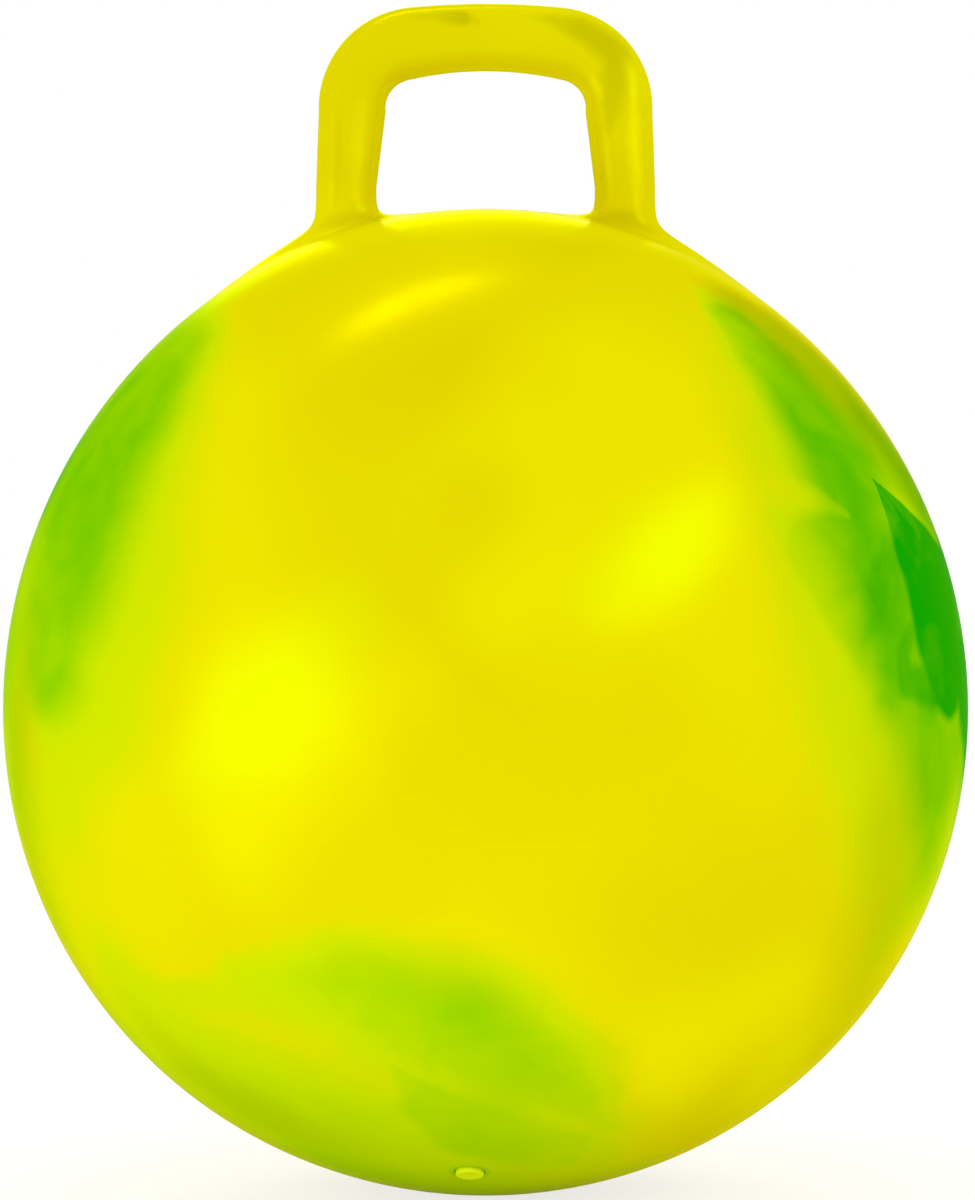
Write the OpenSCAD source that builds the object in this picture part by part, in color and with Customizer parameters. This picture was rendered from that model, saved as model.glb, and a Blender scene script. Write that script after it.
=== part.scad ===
// Hopper ball: an inflated vinyl ball with a hand loop on its crown and a plug valve low on its front.
// Millimetres. The floor is at z = 0, the loop lies in the XZ plane, and the valve faces -Y.

/* [Ball] */
// Width of the ball across its middle
ball_d = 450; // [400:5:560]
// Height of the ball from its round bottom to its crown, between the legs
ball_h = 460; // [400:1:570]
// Share by which the lower half is fuller than the upper half
egg_share = 0.015; // [0:0.005:0.04]
// Thickness of the inflated skin
wall_t = 1.2; // [0.8:0.1:3]
// Depth by which the ball's own weight flattens its bottom
foot_sag = 1.2; // [0.8:0.1:3]

/* [Handle] */
// Width across the outsides of the two legs, where they start to flare
handle_w = 159; // [140:1:180]
// Height of the handle above the crown
handle_rise = 97; // [88:0.5:115]
// Depth of the handle from front to back
handle_depth = 32; // [26:1:38]
// Height of the grip bar at its middle
bar_t = 31; // [26:0.5:36]
// Width of a leg where it starts to flare
leg_w = 28; // [24:0.5:32]
// Thickness of the hollow handle's wall
handle_wall = 3.5; // [2:0.1:5]
// Radius of the handle's outer corners
corner_r = 47; // [40:1:52]
// Radius of the opening's upper corners
opening_r = 14; // [10:1:18]
// Rise of the grip bar's arch, on its upper side
bar_arch = 1.5; // [0.5:0.1:3]
// Rise of the grip bar's arch, on its underside
opening_arch = 3.8; // [2:0.1:5]
// Lean of the legs' outer faces, in degrees
outer_lean = 2; // [0:0.5:4]
// Lean of the legs' inner faces, in degrees
inner_lean = 7; // [4:0.5:9]
// Power that rounds the handle's section: 1 is an ellipse, and less is squarer
section_power = 0.8; // [0.6:0.05:1]

/* [Roots of the handle] */
// Height above the crown at which the legs start to flare
root_h = 11; // [8:0.5:14]
// Reach of the flare down the ball's shoulder
shoulder_reach = 64; // [44:1:70]
// Reach of the flare between the legs
saddle_reach = 42; // [20:1:46]
// Reach of the flare to the front and to the back
side_reach = 12; // [8:0.5:18]
// Depth under the ball that a leg's outer face falls towards before it turns into the web
web_dip = 3.5; // [0:0.5:5]
// Diameter of the port that lets air from the ball into a leg
port_d = 18; // [12:0.5:20]
// Thickness of the flare's edge, where it ends on the ball
toe_t = 0.8; // [0.6:0.1:1.5]
// Seam between the handle's root and the ball
seam = 0.3; // [0.2:0.01:0.5]

/* [Valve seat] */
// Angle of the valve below the ball's middle, in degrees
valve_angle = 64; // [60:1:70]
// Turn of the valve to the left of the front, in degrees
valve_turn = 4; // [0:1:30]
// Diameter of the seat's collar, which fills the hole in the skin
collar_d = 19; // [17:0.5:24]
// Diameter of the flange that is bonded inside the skin
flange_d = 28; // [24:0.5:36]
// Thickness of the flange
flange_t = 1.6; // [1:0.1:3]
// Diameter of the seat's barrel
barrel_d = 11; // [9:0.5:14]
// Depth of the barrel below the ball's surface
barrel_len = 15; // [13:0.5:22]
// Depth of the well that holds the plug's head
well_depth = 1.2; // [0.8:0.1:1.6]
// Bonding gap round the collar and over the flange
bond = 0.05; // [0.02:0.01:0.1]

/* [Valve plug] */
// Diameter of the plug's head
head_d = 12.5; // [11:0.5:14]
// Thickness of the plug's head
head_t = 3; // [2.4:0.1:4]
// Rounding of the head's rim
head_edge = 0.9; // [0.4:0.1:1.1]
// Depth of the dish in the head's face
dish_depth = 0.5; // [0.2:0.1:0.9]
// Width of the dish in the head's face
dish_d = 8; // [6:0.5:9]
// Diameter of the stem over its ribs
stem_d = 5; // [4:0.1:6.5]
// Length of the stem under the head
stem_len = 11; // [9:0.5:12.5]
// Height of a rib on the stem
rib_h = 0.4; // [0.2:0.1:0.7]
// Number of ribs on the stem
rib_count = 3; // [1:1:4]
// Length of the stem's tapered tip
tip_len = 2; // [1:0.5:3]
// Gap between the stem's ribs and the bore
stem_fit = 0.05; // [0.02:0.01:0.1]
// Gap between the head and the wall of its well
well_gap = 0.7; // [0.3:0.1:1.2]

/* [Hidden] */
$fn = 96;
vinyl_yellow = [0.92, 0.87, 0.02];
handle_yellow = [0.90, 0.86, 0.03];
seat_green = [0.72, 0.87, 0.02];
plug_yellow = [0.88, 0.98, 0.1];

// One overrun serves every cut
over = 1;
half_w = ball_d / 2;
half_h = ball_h / 2;
centre_z = half_h - foot_sag;
crown_z = centre_z + half_h;
handle_top_z = crown_z + handle_rise;
opening_top_z = handle_top_z - bar_t;
root_z = crown_z + root_h;
leg_x = handle_w / 2 - leg_w / 2;

// The ball's egg-shaped outline at a latitude, and its outward normal, as [radius, height]
function egg(t) = [half_w * cos(t) * (1 - egg_share * sin(t)), centre_z + half_h * sin(t)];
function egg_normal(t) = unit([half_h * cos(t), half_w * (sin(t) + egg_share * cos(2 * t))]);
function unit(v) = v / norm(v);

// Latitude of the upper skin at a distance from the axis, and the skin's height and slope there
function skin_t(r, t = 60, rounds = 8) = rounds == 0 ? t
  : skin_t(r, acos(r / (half_w * (1 - egg_share * sin(t)))), rounds - 1);
function skin_z(p) = egg(skin_t(norm([p.x, p.y]))).y;
function skin_slope(p) =
  let (r = norm([p.x, p.y]), n = egg_normal(skin_t(r))) -n.x / n.y * [p.x, p.y] / r;

// The outline, moved in by a distance and cut flat where the ball stands
outline_step = 2.5;
module egg_outline(inset) {
  intersection() {
    polygon([for (t = [-90 : outline_step : 90])
      let (p = egg(t) - inset * egg_normal(t)) [abs(t) == 90 ? 0 : p.x, p.y]]);
    translate([0, inset]) square([ball_d, crown_z]);
  }
}

module at_valve() {
  place = egg(-valve_angle);
  out = egg_normal(-valve_angle);
  rotate([0, 0, -valve_turn])
    translate([0, -place.x, place.y])
      rotate([90 - atan2(out.y, out.x), 0, 0]) children();
}

module ball_shell() {
  color(vinyl_yellow)
    difference() {
      rotate_extrude()
        difference() {
          egg_outline(0);
          egg_outline(wall_t);
        }
      for (side = [-1, 1])
        translate([side * leg_x, 0, centre_z]) cylinder(d = port_d, h = ball_h);
      at_valve()
        translate([0, 0, -barrel_len]) cylinder(d = collar_d + 2 * bond, h = 2 * barrel_len);
    }
}

// Half of the loop's outline in the XZ plane, from the root up one leg and to the middle of the bar
function leg_points(foot, start, n) = [for (i = [0 : n - 1]) foot + (start - foot) * i / n];
function arc_points(c, r, from, to, n, last) =
  [for (i = [0 : n - last]) let (a = from + (to - from) * i / n) c + r * [cos(a), sin(a)]];
function loop_outline(foot_x, top_z, r, arch, lean, steps) =
  let (
    c = [0, top_z - arch - r],
    cx = foot_x - r * cos(lean) - (c.y - r * sin(lean) - root_z) * tan(lean),
    corner = [cx, c.y],
    bar_r = (cx * cx + arch * arch) / (2 * arch),
    turn = asin(cx / bar_r),
    start = corner + r * [cos(lean), -sin(lean)]
  )
  concat(
    leg_points([foot_x, root_z], start, steps.x),
    arc_points(corner, r, -lean, 90 - turn, steps.y, 1),
    arc_points([0, top_z - bar_r - r], bar_r + r, 90 - turn, 90, steps.z, 0)
  );
function loop_outer(steps) = loop_outline(handle_w / 2, handle_top_z, corner_r, bar_arch, outer_lean, steps);
function loop_inner(steps) =
  loop_outline(handle_w / 2 - leg_w, opening_top_z, opening_r, opening_arch, inner_lean, steps);

// The handle's section is a rounded square, drawn as a superellipse
ring_sides = 32;
function squared(x) = sign(x) * pow(abs(x), section_power);
unit_section = [for (j = [0 : ring_sides - 1]) let (a = 360 * j / ring_sides) [squared(cos(a)), squared(sin(a))]];

// A ring of the handle between an inner and an outer point of its outline, shrunk by the wall
function ring(outer, inner, wall) =
  let (
    middle = (outer + inner) / 2,
    reach = (outer - inner) / 2,
    across = reach * (1 - wall / norm(reach)),
    deep = handle_depth / 2 - wall
  )
  [for (s = unit_section) [middle.x + across.x * s.x, deep * s.y, middle.y + across.y * s.x]];

function mirrored(points) = [for (p = points) [-p.x, p.y, p.z]];
function backwards(list) = [for (i = [len(list) - 1 : -1 : 0]) list[i]];
function right_rings(wall, steps) =
  let (outer = loop_outer(steps), inner = loop_inner(steps))
  [for (i = [0 : len(outer) - 1]) ring(outer[i], inner[i], wall)];
function both_legs(right) =
  concat(right, [for (i = [len(right) - 2 : -1 : 0]) mirrored(right[i])]);

// The root flares from the leg's foot out to a toe on the ball, along a Bezier curve in each direction.
// Each curve ends along the ball's tangent plane, in an edge of an even thickness.
root_steps = 8;
function on_skin(p, height) = [p.x, p.y, skin_z(p) + height];
function toe(foot, s, height) =
  on_skin([foot.x + (s.x > 0 ? shoulder_reach : saddle_reach) * s.x, foot.y + side_reach * s.y], height);
function over_foot(foot, toe) =
  [foot.x, foot.y, toe.z + skin_slope(toe) * [foot.x - toe.x, foot.y - toe.y]];
function bezier(a, near, far, c, t) =
  let (u = 1 - t) u * u * u * a + 3 * u * u * t * near + 3 * u * t * t * far + t * t * t * c;
function flare(rim, t) =
  [for (j = [0 : ring_sides - 1])
    let (
      s = unit_section[j],
      end = toe(rim[j], s, seam + toe_t),
      near = on_skin(rim[j], -web_dip * pow(max(s.x, 0), 2))
    )
    bezier(rim[j], near, over_foot(rim[j], end), end, t)];
function underside(rim, hole, t) =
  [for (j = [0 : ring_sides - 1])
    let (far = toe(rim[j], unit_section[j], 0)) on_skin(far + (hole[j] - far) * t, seam)];

// Rings in a closed loop: up and over outside, under one root, back inside, and under the other root
outside_steps = [3, 9, 6];
inside_steps = [2, 5, 3];
underside_steps = 6;
function handle_rings() =
  let (
    outer = right_rings(0, outside_steps),
    inner = right_rings(handle_wall, inside_steps),
    flares = [for (i = [1 : root_steps]) flare(outer[0], i / root_steps)],
    under = [for (i = [0 : underside_steps]) underside(outer[0], inner[0], i / underside_steps)]
  )
  concat(
    backwards(flares),
    both_legs(outer),
    [for (r = flares) mirrored(r)],
    [for (r = under) mirrored(r)],
    backwards(both_legs(inner)),
    backwards(under)
  );

module handle() {
  rings = handle_rings();
  n = len(rings);
  color(handle_yellow)
    polyhedron(
      points = [for (r = rings) each r],
      faces = [for (i = [0 : n - 1], j = [0 : ring_sides - 1])
        let (
          a = i * ring_sides + j,
          b = i * ring_sides + (j + 1) % ring_sides,
          c = ((i + 1) % n) * ring_sides + (j + 1) % ring_sides,
          d = ((i + 1) % n) * ring_sides + j
        )
        each [[a, c, b], [a, d, c]]]
    );
}

// The seat's collar stands in the skin's hole, and its flange lies against the skin's inner face.
// A flat flange first meets the hollow of the ball at its own rim.
flange_drop = wall_t + bond + half_w - sqrt(pow(half_w, 2) - pow(flange_d / 2, 2));
bore_d = stem_d + 2 * stem_fit;
module valve_seat() {
  color(seat_green)
    at_valve()
      difference() {
        union() {
          translate([0, 0, -flange_drop]) cylinder(d = collar_d, h = flange_drop);
          translate([0, 0, -flange_drop - flange_t]) cylinder(d = flange_d, h = flange_t);
          translate([0, 0, -barrel_len]) cylinder(d = barrel_d, h = barrel_len - flange_drop);
        }
        translate([0, 0, -well_depth]) cylinder(d = head_d + 2 * well_gap, h = well_depth + over);
        translate([0, 0, -barrel_len - over]) cylinder(d = bore_d, h = barrel_len + 2 * over);
      }
}

// The plug's head sits on the floor of the well, and its ribbed stem fills the bore
dish_r = (pow(dish_d / 2, 2) + pow(dish_depth, 2)) / (2 * dish_depth);
rib_pitch = (stem_len - tip_len) / (rib_count + 1);
module plug_head_outline() {
  difference() {
    union() {
      square([head_d / 2 - head_edge, head_t]);
      square([head_d / 2, head_t - head_edge]);
      translate([head_d / 2 - head_edge, head_t - head_edge]) circle(head_edge);
    }
    translate([0, head_t + dish_r - dish_depth]) circle(dish_r);
    translate([-head_d, -head_d]) square([head_d, 3 * head_d]);
  }
}

module valve_plug() {
  core_d = stem_d - 2 * rib_h;
  color(plug_yellow)
    at_valve()
      translate([0, 0, -well_depth]) {
        rotate_extrude() plug_head_outline();
        translate([0, 0, tip_len - stem_len]) cylinder(d = core_d, h = stem_len - tip_len);
        translate([0, 0, -stem_len]) cylinder(d1 = core_d - 2 * rib_h, d2 = core_d, h = tip_len);
        for (i = [1 : rib_count])
          translate([0, 0, -i * rib_pitch]) {
            cylinder(d1 = core_d, d2 = stem_d, h = rib_h);
            translate([0, 0, rib_h]) cylinder(d = stem_d, h = rib_h);
          }
      }
}

ball_shell();
handle();
valve_seat();
valve_plug();
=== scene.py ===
# Hopper ball: an inflated, marbled vinyl ball with a hand loop on its crown and a plug valve low on its
# front. Metres. The floor is at z = 0, the loop lies in the XZ plane, and the valve and the camera are on
# the -Y side.
from math import asin, atan2, ceil, cos, floor, hypot, pi, radians, sin, sqrt, tan

import bmesh
import bpy
from mathutils import Matrix, Vector


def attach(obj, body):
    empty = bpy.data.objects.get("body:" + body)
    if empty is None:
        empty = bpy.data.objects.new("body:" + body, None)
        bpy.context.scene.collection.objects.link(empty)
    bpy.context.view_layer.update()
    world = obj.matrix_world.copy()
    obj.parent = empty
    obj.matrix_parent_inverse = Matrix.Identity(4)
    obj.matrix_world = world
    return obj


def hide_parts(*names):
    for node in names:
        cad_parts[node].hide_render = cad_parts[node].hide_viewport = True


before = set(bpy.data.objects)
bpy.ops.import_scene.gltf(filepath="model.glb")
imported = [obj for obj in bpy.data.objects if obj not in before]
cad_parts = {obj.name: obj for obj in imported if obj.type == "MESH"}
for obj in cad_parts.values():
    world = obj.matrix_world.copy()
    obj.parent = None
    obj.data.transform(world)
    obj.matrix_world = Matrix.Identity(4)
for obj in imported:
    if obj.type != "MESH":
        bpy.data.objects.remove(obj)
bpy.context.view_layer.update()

# Sizes of the ball, the same as the solid part's
BALL_D = 0.450
BALL_H = 0.460
EGG_SHARE = 0.015
WALL_T = 0.0012
FOOT_SAG = 0.0012

# Sizes of the hand loop
HANDLE_W = 0.159
HANDLE_RISE = 0.097
HANDLE_DEPTH = 0.032
BAR_T = 0.031
LEG_W = 0.028
HANDLE_WALL = 0.0035
CORNER_R = 0.047
OPENING_R = 0.014
BAR_ARCH = 0.0015
OPENING_ARCH = 0.0038
OUTER_LEAN = radians(2)
INNER_LEAN = radians(7)
SECTION_POWER = 0.8

# Sizes of the loop's roots
ROOT_H = 0.011
SHOULDER_REACH = 0.064
SADDLE_REACH = 0.042
SIDE_REACH = 0.012
WEB_DIP = 0.0035
PORT_D = 0.018

# Sizes of the valve seat and the plug
VALVE_ANGLE = radians(64)
VALVE_TURN = radians(4)
COLLAR_D = 0.019
FLANGE_D = 0.028
FLANGE_T = 0.0016
BARREL_D = 0.011
BARREL_LEN = 0.015
WELL_DEPTH = 0.0012
BOND = 0.00005
HEAD_D = 0.0125
HEAD_T = 0.003
HEAD_EDGE = 0.0009
DISH_DEPTH = 0.0005
DISH_D = 0.008
STEM_D = 0.005
STEM_LEN = 0.011
RIB_H = 0.0004
RIB_COUNT = 3
TIP_LEN = 0.002
STEM_FIT = 0.00005
WELL_GAP = 0.0007

# Derived sizes
HALF_W = BALL_D / 2
HALF_H = BALL_H / 2
CENTRE_Z = HALF_H - FOOT_SAG
CROWN_Z = CENTRE_Z + HALF_H
HANDLE_TOP_Z = CROWN_Z + HANDLE_RISE
OPENING_TOP_Z = HANDLE_TOP_Z - BAR_T
ROOT_Z = CROWN_Z + ROOT_H
LEG_X = HANDLE_W / 2 - LEG_W / 2
UP = Vector((0, 0, 1))


# The ball's egg-shaped skin, by latitude in radians. A point is moved onto it in a few rounds, each by the
# slope that a small step finds.

SLIDE_ROUNDS = 8
SLOPE_STEP = 1e-6
NEARLY_ZERO = 1e-9


def egg_radius(t):
    return HALF_W * cos(t) * (1 - EGG_SHARE * sin(t))


def skin_point(azimuth, t):
    """A point of the skin. The azimuth starts at the front and grows towards +X."""
    r = egg_radius(t)
    return Vector((r * sin(azimuth), -r * cos(azimuth), CENTRE_Z + HALF_H * sin(t)))


def skin_normal(p):
    s = max(-1, min(1, (p.z - CENTRE_Z) / HALF_H))
    t = asin(s)
    outward = HALF_H * cos(t)
    upward = HALF_W * (s + EGG_SHARE * cos(2 * t))
    r = hypot(p.x, p.y)
    if r < NEARLY_ZERO:
        return Vector((0, 0, 1 if upward > 0 else -1))
    return Vector((outward * p.x / r, outward * p.y / r, upward)).normalized()


def off_skin(p):
    """Zero on the skin, above zero outside it and below zero inside it."""
    s = (p.z - CENTRE_Z) / HALF_H
    return (hypot(p.x, p.y) / (HALF_W * (1 - EGG_SHARE * s))) ** 2 + s * s - 1


def onto_skin(p, direction):
    """Slides a point along a direction until it lies on the skin."""
    for _ in range(SLIDE_ROUNDS):
        miss = off_skin(p)
        slope = (off_skin(p + direction * SLOPE_STEP) - miss) / SLOPE_STEP
        p = p - direction * (miss / slope)
    return p


def above_skin(x, y, height=0.0):
    return onto_skin(Vector((x, y, CROWN_Z)), UP) + UP * height


# Meshes from lists of points. Edges sharper than a piece's angle, in degrees, are shaded as edges.

SHARP_ANGLE = 40
LOOP_SHARP_ANGLE = 50
RIDGE_SHARP_ANGLE = 80


def new_piece(name, points, faces, body, material, sharp_angle=SHARP_ANGLE):
    mesh = bpy.data.meshes.new(name)
    mesh.from_pydata([tuple(p) for p in points], [], faces)
    form = bmesh.new()
    form.from_mesh(mesh)
    bmesh.ops.recalc_face_normals(form, faces=form.faces)
    form.to_mesh(mesh)
    form.free()
    mesh.shade_smooth()
    mesh.set_sharp_from_angle(angle=radians(sharp_angle))
    mesh.materials.append(material)
    piece = bpy.data.objects.new(name, mesh)
    bpy.context.scene.collection.objects.link(piece)
    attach(piece, body)
    return piece


def band_faces(first, second, closed=True):
    """Quads between two rings of point numbers."""
    n = len(first)
    return [
        (first[i], first[(i + 1) % n], second[(i + 1) % n], second[i])
        for i in range(n if closed else n - 1)
    ]


def loft(rings, closed_path=False, capped=False):
    """Points and faces of a tube through rings that have equal numbers of points."""
    n = len(rings[0])
    points = [p for ring in rings for p in ring]
    numbers = [list(range(i * n, (i + 1) * n)) for i in range(len(rings))]
    if closed_path:
        numbers.append(numbers[0])
    faces = [f for a, b in zip(numbers, numbers[1:]) for f in band_faces(a, b)]
    if capped:
        faces += [tuple(numbers[0]), tuple(numbers[-1])]
    return points, faces


# The ball's skin: one grid of points outside and one inside, joined round the valve's hole and the loop's
# two ports

COLUMNS = 192
ROWS = 96
FOOT_RINGS = 3
HOLE_RINGS = 4
HOLE_MARGIN = 0.009


def valve_frame():
    """The valve's place on the skin, its outward axis, and two directions across it."""
    place = skin_point(-VALVE_TURN, -VALVE_ANGLE)
    out = skin_normal(place)
    side = Vector((cos(VALVE_TURN), -sin(VALVE_TURN), 0))
    return place, out, side, out.cross(side)


def skin_rows():
    """Rings of the skin from the foot's edge to the crown, each as its latitude."""
    foot_t = asin(-CENTRE_Z / HALF_H)
    return [foot_t + (pi / 2 - foot_t) * i / ROWS for i in range(ROWS)]


def skin_grid():
    """Outer points and faces of the skin, and the ring of point numbers round each hole."""
    latitudes = skin_rows()
    foot_r = egg_radius(latitudes[0])
    points = []
    grid = []
    for k in range(1, FOOT_RINGS):
        r = foot_r * k / FOOT_RINGS
        grid.append((None, [Vector((r * sin(a), -r * cos(a), 0)) for a in column_angles()]))
    for t in latitudes:
        grid.append((t, [skin_point(a, t) for a in column_angles()]))
    numbers = []
    for _, ring in grid:
        numbers.append(list(range(len(points), len(points) + COLUMNS)))
        points += ring
    low, high = len(points), len(points) + 1
    points += [Vector((0, 0, 0)), Vector((0, 0, CROWN_Z))]

    first_row = FOOT_RINGS - 1
    row_step = latitudes[1] - latitudes[0]
    column_step = 2 * pi / COLUMNS
    cut = set()
    faces = []
    rims = []
    for place, axis, side, across, radius in holes():
        t = asin((place.z - CENTRE_Z) / HALF_H)
        azimuth = atan2(place.x, -place.y)
        half_rows = (radius + HOLE_MARGIN) / HALF_H / row_step
        half_columns = (radius + HOLE_MARGIN) / egg_radius(t) / column_step
        middle = (t - latitudes[0]) / row_step + first_row
        i0, i1 = floor(middle - half_rows), ceil(middle + half_rows)
        column = azimuth / column_step
        j0, j1 = floor(column - half_columns), ceil(column + half_columns)
        cut |= {(i, j % COLUMNS) for i in range(i0, i1) for j in range(j0, j1)}
        edge = [(i0, j) for j in range(j0, j1)] + [(i, j1) for i in range(i0, i1)]
        edge += [(i1, j) for j in range(j1, j0, -1)] + [(i, j0) for i in range(i1, i0, -1)]
        ring = [numbers[i][j % COLUMNS] for i, j in edge]
        start = [((points[n] - place).dot(side), (points[n] - place).dot(across)) for n in ring]
        for k in range(1, HOLE_RINGS + 1):
            share = k / HOLE_RINGS
            new_ring = []
            for u, v in start:
                scale = 1 - share + share * radius / hypot(u, v)
                spot = place + side * (u * scale) + across * (v * scale)
                new_ring.append(len(points))
                points.append(onto_skin(spot, axis))
            faces += band_faces(ring, new_ring)
            ring = new_ring
        rims.append(ring)
    for i in range(len(numbers) - 1):
        for j in range(COLUMNS):
            if (i, j) not in cut:
                k = (j + 1) % COLUMNS
                faces.append((numbers[i][j], numbers[i][k], numbers[i + 1][k], numbers[i + 1][j]))
    for j in range(COLUMNS):
        k = (j + 1) % COLUMNS
        faces.append((low, numbers[0][j], numbers[0][k]))
        faces.append((high, numbers[-1][k], numbers[-1][j]))
    return points, faces, rims


def column_angles():
    return [2 * pi * j / COLUMNS for j in range(COLUMNS)]


def holes():
    """The valve's hole and the ports under the legs: place, axis, two directions across it, and radius."""
    place, out, side, across = valve_frame()
    found = [(place, out, side, across, COLLAR_D / 2 + BOND)]
    for x in (-LEG_X, LEG_X):
        found.append((above_skin(x, 0), UP, Vector((1, 0, 0)), Vector((0, 1, 0)), PORT_D / 2))
    return found


def make_ball_skin(material):
    outer, faces, rims = skin_grid()
    count = len(outer)
    inner = []
    for p in outer:
        q = p - skin_normal(p) * WALL_T
        if p.z < NEARLY_ZERO:
            q.z = WALL_T
        inner.append(q)
    faces = faces + [tuple(n + count for n in reversed(f)) for f in faces]
    for rim in rims:
        faces += band_faces(rim, [n + count for n in rim])
    piece = new_piece("ball_skin", outer + inner, faces, "ball", material)
    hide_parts("ball_shell")


# The hand loop: rings along its outline, with roots that flare out and meet the skin along its tangent

RING_SIDES = 64
OUTSIDE_STEPS = (10, 30, 18)
INSIDE_STEPS = (4, 12, 8)
ROOT_STEPS = 24
UNDERSIDE_STEPS = 8
SEAM = 0.00005
UNDERLAP = 0.0006


def loop_outline(foot_x, top_z, radius, arch, lean, steps):
    """Half of the loop's outline in the XZ plane, from the root up one leg and to the middle of the bar."""
    corner_z = top_z - arch - radius
    corner_x = foot_x - radius * cos(lean) - (corner_z - radius * sin(lean) - ROOT_Z) * tan(lean)
    bar_r = (corner_x * corner_x + arch * arch) / (2 * arch)
    turn = asin(corner_x / bar_r)
    foot = Vector((foot_x, ROOT_Z))
    start = Vector((corner_x + radius * cos(lean), corner_z - radius * sin(lean)))
    points = [foot.lerp(start, i / steps[0]) for i in range(steps[0])]
    for i in range(steps[1]):
        a = -lean + (pi / 2 - turn + lean) * i / steps[1]
        points.append(Vector((corner_x + radius * cos(a), corner_z + radius * sin(a))))
    for i in range(steps[2] + 1):
        a = pi / 2 - turn + turn * i / steps[2]
        reach = bar_r + radius
        points.append(Vector((reach * cos(a), top_z - reach + reach * sin(a))))
    return points


def squared(x):
    return (1 if x > 0 else -1) * abs(x) ** SECTION_POWER


def unit_section():
    turns = [2 * pi * j / RING_SIDES for j in range(RING_SIDES)]
    return [(squared(cos(a)), squared(sin(a))) for a in turns]


def loop_ring(outer, inner, wall):
    middle = (outer + inner) / 2
    reach = (outer - inner) / 2
    across = reach * (1 - wall / reach.length)
    deep = HANDLE_DEPTH / 2 - wall
    return [Vector((middle.x + across.x * s, deep * d, middle.y + across.y * s)) for s, d in unit_section()]


def right_rings(wall, steps):
    outer = loop_outline(HANDLE_W / 2, HANDLE_TOP_Z, CORNER_R, BAR_ARCH, OUTER_LEAN, steps)
    inner = loop_outline(HANDLE_W / 2 - LEG_W, OPENING_TOP_Z, OPENING_R, OPENING_ARCH, INNER_LEAN, steps)
    return [loop_ring(a, b, wall) for a, b in zip(outer, inner)]


def mirrored(ring):
    return [Vector((-p.x, p.y, p.z)) for p in ring]


def both_legs(right):
    return right + [mirrored(ring) for ring in reversed(right[:-1])]


def toe(foot, s, d, height):
    reach = SHOULDER_REACH if s > 0 else SADDLE_REACH
    return above_skin(foot.x + reach * s, foot.y + SIDE_REACH * d, height)


def bezier(a, near, far, b, t):
    u = 1 - t
    return a * u**3 + near * (3 * u * u * t) + far * (3 * u * t * t) + b * t**3


def flare(rim, t):
    """A ring of the root: each of its points is on a curve that leaves the skin along its tangent."""
    ring = []
    for foot, (s, d) in zip(rim, unit_section()):
        end = toe(foot, s, d, SEAM)
        n = skin_normal(end)
        rise = (n.x * (end.x - foot.x) + n.y * (end.y - foot.y)) / n.z
        near = above_skin(foot.x, foot.y, -WEB_DIP * max(s, 0) ** 2)
        far = Vector((foot.x, foot.y, end.z + rise))
        ring.append(bezier(foot, near, far, end, t))
    return ring


def underside(rim, hole, t):
    ring = []
    for foot, inner, (s, d) in zip(rim, hole, unit_section()):
        far = toe(foot, s, d, 0)
        spot = far.lerp(inner, t)
        ring.append(above_skin(spot.x, spot.y, -UNDERLAP))
    return ring


def make_hand_loop(material):
    outer = right_rings(0, OUTSIDE_STEPS)
    inner = right_rings(HANDLE_WALL, INSIDE_STEPS)
    flares = [flare(outer[0], i / ROOT_STEPS) for i in range(1, ROOT_STEPS + 1)]
    under = [underside(outer[0], inner[0], i / UNDERSIDE_STEPS) for i in range(UNDERSIDE_STEPS + 1)]
    rings = flares[::-1] + both_legs(outer) + [mirrored(r) for r in flares]
    rings += [mirrored(r) for r in under] + both_legs(inner)[::-1] + under[::-1]
    points, faces = loft(rings, closed_path=True)
    piece = new_piece("hand_loop", points, faces, "ball", material, LOOP_SHARP_ANGLE)
    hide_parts("handle")


# The mould's parting line: a fine raised ridge in the loop's plane, up the ball, over the loop and round
# its opening. Its section is by width and height, and low on the ball it rises over RIDGE_FADE steps.

RIDGE_W = 0.0012
RIDGE_H = 0.00018
RIDGE_SUNK = 0.0001
RIDGE_SECTION = ((-0.5, 0), (-0.25, 0.75), (0, 1), (0.25, 0.75), (0.5, 0))
RIDGE_START = radians(-74)
RIDGE_FADE = 12
RIDGE_TUCK = 0.012
SKIN_STEPS = 96
CROWN_STEPS = 8


def skin_route():
    """Points up the skin's right side, from above the foot to just under the loop's flared root."""
    end = above_skin(HANDLE_W / 2 + SHOULDER_REACH - RIDGE_TUCK, 0)
    rise = asin((end.z - CENTRE_Z) / HALF_H) - RIDGE_START
    return [skin_point(pi / 2, RIDGE_START + rise * i / SKIN_STEPS) for i in range(SKIN_STEPS + 1)]


def loop_route(side):
    """Points along one side of the loop, from the toe of its right root over the bar to the left one."""
    rings = right_rings(0, OUTSIDE_STEPS)
    flares = [flare(rings[0], i / ROOT_STEPS) for i in range(ROOT_STEPS, 0, -1)]
    return [ring[side] for ring in both_legs(flares + rings)]


def opening_route():
    """The inner side of the loop, closed across the crown."""
    route = loop_route(RING_SIDES // 2)
    gap = route[0].x - route[-1].x
    crossing = [above_skin(route[-1].x + gap * i / CROWN_STEPS, 0, SEAM) for i in range(1, CROWN_STEPS)]
    return route + crossing


def ridge_ring(point, normal, share):
    """The ridge's section at a point of its route. It sinks into the skin as share falls to 0."""
    ring = []
    for across, up in RIDGE_SECTION:
        rise = RIDGE_H * share * up - RIDGE_SUNK * (1 - share * min(1, up))
        ring.append(point + Vector((0, RIDGE_W * across, 0)) + normal * rise)
    base = point - normal * (2 * RIDGE_SUNK)
    ring += [base + Vector((0, RIDGE_W / 2, 0)), base - Vector((0, RIDGE_W / 2, 0))]
    return ring


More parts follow.
